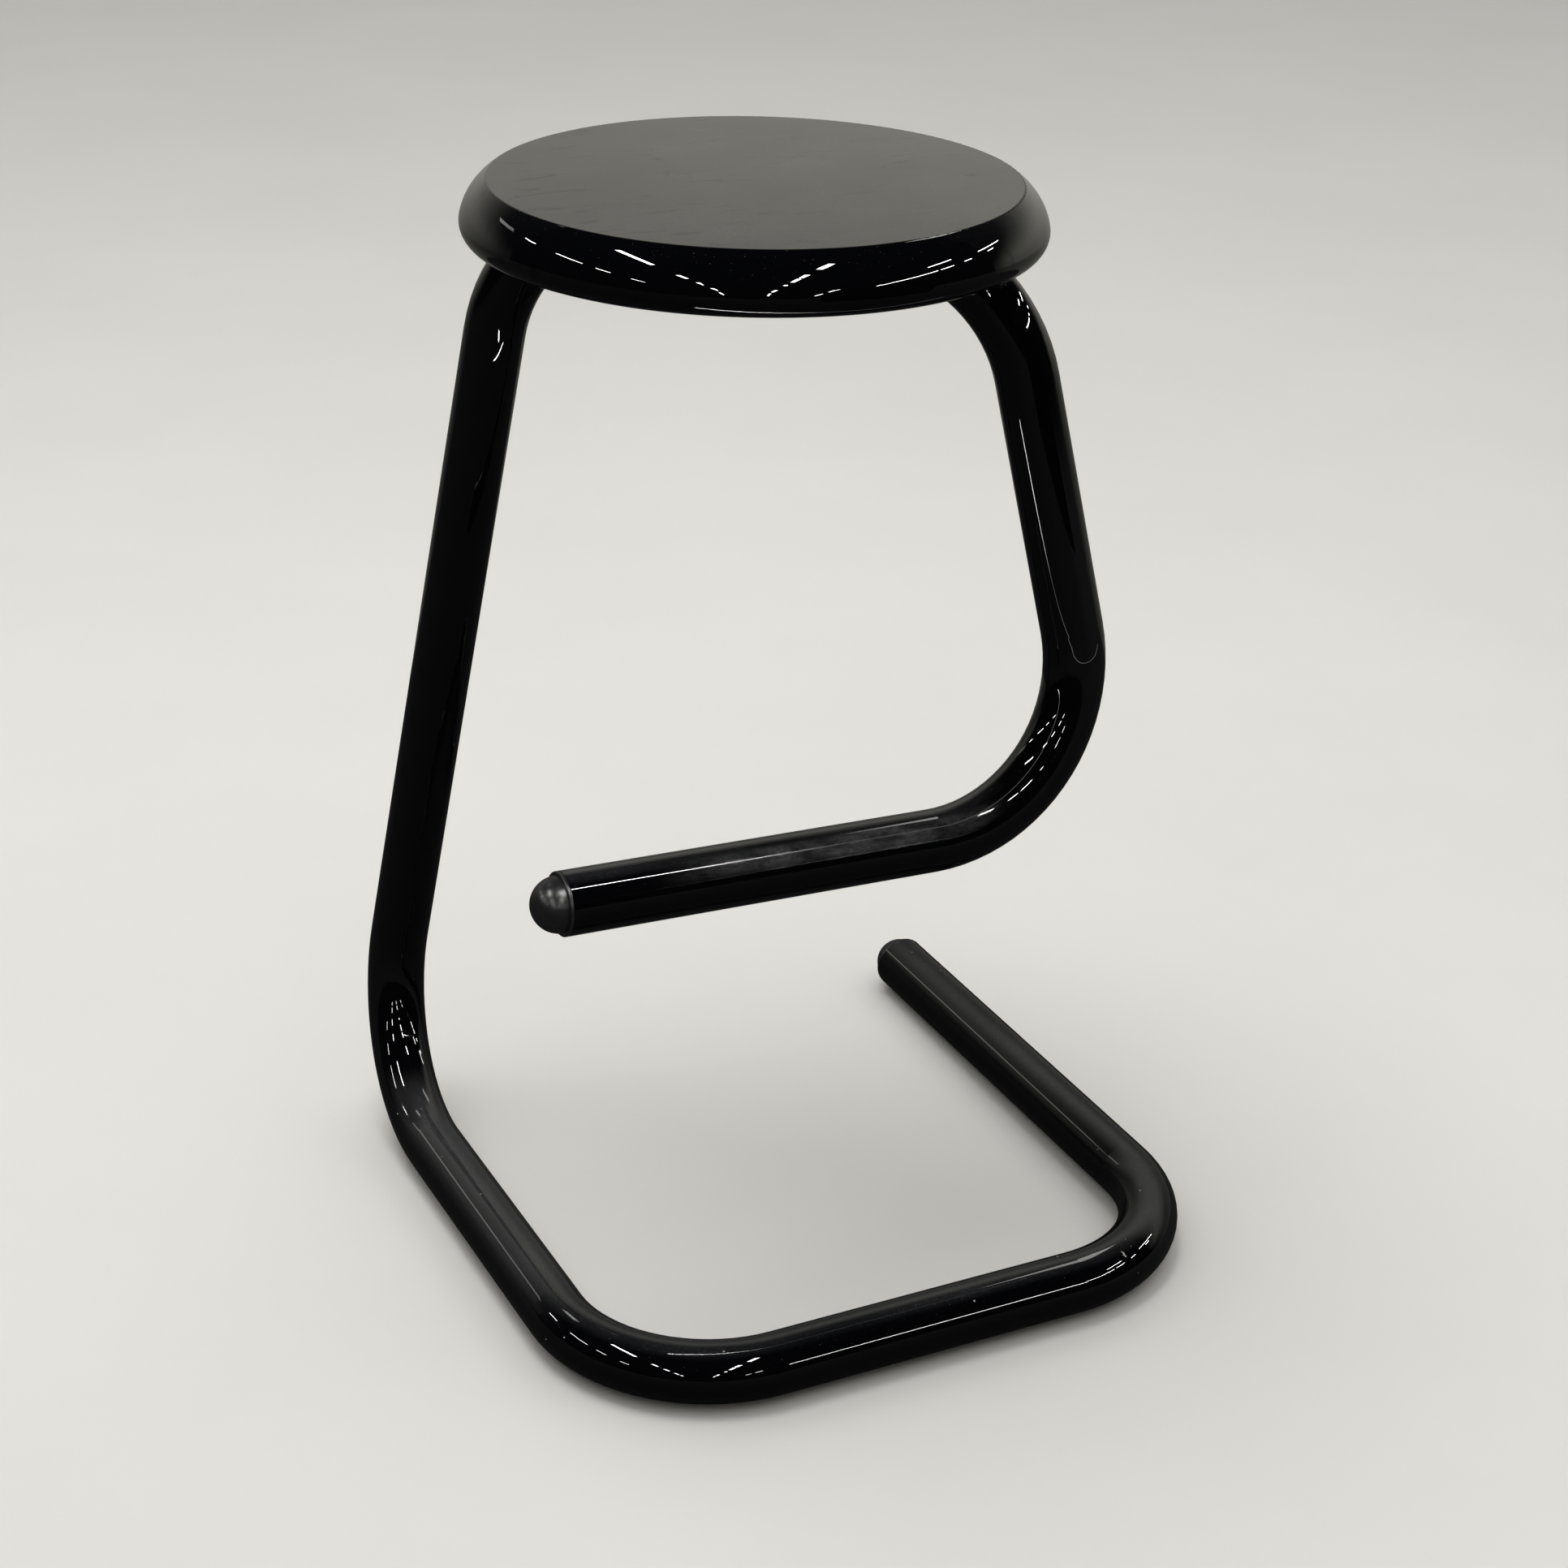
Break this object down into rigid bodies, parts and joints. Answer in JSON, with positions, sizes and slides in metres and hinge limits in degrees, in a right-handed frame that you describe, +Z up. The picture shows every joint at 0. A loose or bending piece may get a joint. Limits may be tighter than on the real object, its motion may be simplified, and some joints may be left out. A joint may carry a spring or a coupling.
{
  "type": "bent-tube stool",
  "caption": "Round flat seat with a bullnose rim on one continuous bent tube that forms floor loop, leaning legs and cantilevered footrest.",
  "frame": {"origin": "centre of the whole outline seen from above, on the floor", "axes": "+X along the front floor run towards its right-hand corner, +Y from the front floor run to the back, +Z up"},
  "size_m": [0.443, 0.4507, 0.667],
  "materials": {
    "frame_enamel": "gloss",
    "seat_enamel": "gloss, satin from wear on top",
    "plywood": "black stain",
    "strap_steel": "satin",
    "screw_steel": "zinc plated",
    "plug_plastic": "soft sheen",
    "glide_nylon": "matt"
  },
  "bodies": {
    "root": {"tube_frame": "frame_enamel", "seat_pan": "seat_enamel", "seat_board": "plywood", "strap_left": "strap_steel", "strap_right": "strap_steel", "strap_screws": "screw_steel", "footrest_plug": "plug_plastic", "base_plug": "plug_plastic", "glide_front_left": "glide_nylon", "glide_front_right": "glide_nylon", "glide_left_rear": "glide_nylon", "glide_right_rear": "glide_nylon"}
  },
  "joints": []
}
